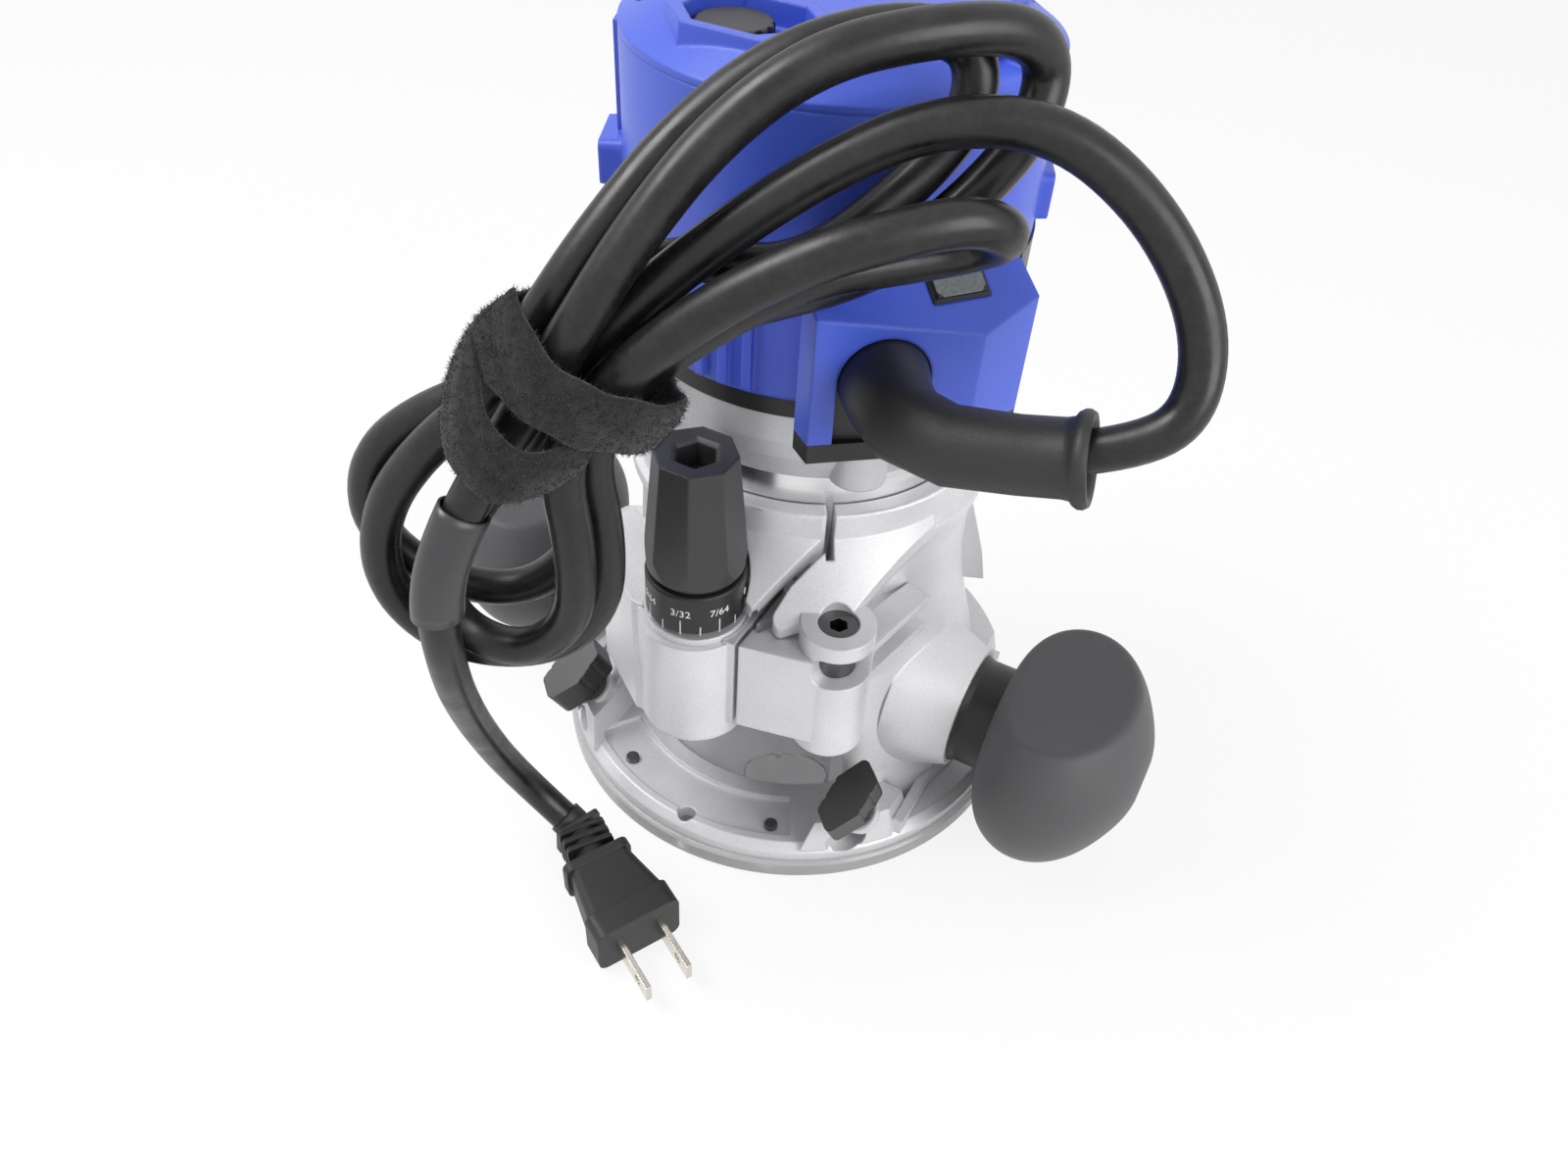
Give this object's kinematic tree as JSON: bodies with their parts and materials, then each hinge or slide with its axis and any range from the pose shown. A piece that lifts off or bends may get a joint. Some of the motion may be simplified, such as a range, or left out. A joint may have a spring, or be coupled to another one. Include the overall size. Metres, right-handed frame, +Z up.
{
  "type": "router",
  "caption": "Handheld fixed-base woodworking router: round cast base with clear sub-base, side knobs, screw depth adjuster, blue motor and a tied mains cord.",
  "frame": {"origin": "centre of the guide-bushing seat at the underside of the sub-base, on the spindle axis, at the floor", "axes": "+Z up along the spindle axis, -Y towards the depth adjuster, +X towards the right handle"},
  "size_m": [0.243, 0.209, 0.2506],
  "materials": {
    "casting": "fine cast, matt silver paint",
    "barrel": "turned",
    "blue_plastic": "fine grained",
    "black_plastic": "satin",
    "soft_black": "soft touch",
    "clear_plastic": "clear, lightly scuffed",
    "steel": "machined",
    "dark_steel": "black oxide",
    "copper": "machined",
    "core_steel": "stacked sheets",
    "cord_black": "smooth jacket",
    "webbing": "hook and loop",
    "lens": "frosted",
    "label": "film",
    "blade": "nickel"
  },
  "bodies": {
    "base": {"base_casting": "casting", "sub_base": "clear_plastic", "sub_base_screws": "dark_steel", "chip_shield": "clear_plastic", "handle_right": "soft_black", "handle_left": "soft_black", "handle_necks": "black_plastic", "handle_bolts": "dark_steel", "index_ring": "casting"},
    "adjuster": {"depth_knob": "soft_black", "depth_screw": "steel"},
    "scale_ring": {"depth_scale_ring": "black_plastic"},
    "clamp": {"clamp_spindle": "dark_steel"},
    "right_thumb": {"guide_screw_right": "black_plastic"},
    "left_thumb": {"guide_screw_left": "black_plastic"},
    "motor": {"motor_barrel": "barrel", "motor_bell": "casting", "housing_band": "black_plastic", "motor_housing": "blue_plastic", "rating_plate": "label", "power_lens": "lens", "brush_caps": "black_plastic", "top_cap": "blue_plastic", "cap_screws": "dark_steel", "speed_module": "black_plastic", "switch_case": "black_plastic", "depth_arm": "steel", "stator_core": "core_steel", "lower_bearing": "steel", "upper_bearing": "steel", "bearing_bracket": "black_plastic", "brush_holders": "copper", "cord_lead": "cord_black", "cord_middle": "cord_black", "cord_back": "cord_black", "cord_tail": "cord_black", "cord_boot": "soft_black", "cord_tie": "webbing", "cord_label": "label", "plug_body": "cord_black", "plug_blades": "blade"},
    "dial": {"speed_dial": "black_plastic"},
    "switch": {"power_switch": "black_plastic"},
    "spindle": {"spindle_shaft": "steel", "rotor_core": "core_steel", "commutator": "copper", "cooling_fan": "black_plastic", "collet": "steel"},
    "nut": {"collet_nut": "steel"}
  },
  "joints": [
    {"name": "motor_slide", "type": "slide", "parent": "base", "child": "motor", "axis": [0, 0, 1], "range_m": [-0.009, 0.013]},
    {"name": "depth_knob_turn", "type": "hinge", "parent": "base", "child": "adjuster", "pos_m": [0, -0.063, 0.1], "axis": [0, 0, 1], "range_deg": [-1040, 1500]},
    {"name": "scale_ring_turn", "type": "hinge", "parent": "adjuster", "child": "scale_ring", "pos_m": [0, -0.063, 0.1], "axis": [0, 0, 1], "continuous": true},
    {"name": "clamp_turn", "type": "hinge", "parent": "base", "child": "clamp", "pos_m": [0.038, -0.055, 0.085], "axis": [0, 0, 1], "range_deg": [0, 120]},
    {"name": "right_thumb_turn", "type": "hinge", "parent": "base", "child": "right_thumb", "pos_m": [0.0485, -0.045, 0.0142], "axis": [0, -0.4695, 0.8829], "range_deg": [0, 720]},
    {"name": "left_thumb_turn", "type": "hinge", "parent": "base", "child": "left_thumb", "pos_m": [-0.0485, -0.045, 0.0142], "axis": [0, -0.4695, 0.8829], "range_deg": [0, 720]},
    {"name": "speed_dial_turn", "type": "hinge", "parent": "motor", "child": "dial", "pos_m": [-0.011, -0.03, 0.23], "axis": [0, 0, 1], "range_deg": [0, 300]},
    {"name": "power_switch_rock", "type": "hinge", "parent": "motor", "child": "switch", "pos_m": [0, 0.046, 0.198], "axis": [1, 0, 0], "range_deg": [0, 7]},
    {"name": "spindle_spin", "type": "hinge", "parent": "motor", "child": "spindle", "pos_m": [0, 0, 0.1], "axis": [0, 0, 1], "continuous": true},
    {"name": "collet_nut_turn", "type": "hinge", "parent": "spindle", "child": "nut", "pos_m": [0, 0, 0.045], "axis": [0, 0, 1], "range_deg": [0, 720]}
  ],
  "couplings": [
    {"joint": "depth_knob_turn", "follows": "motor_slide", "rad_per_m": 1979}
  ]
}
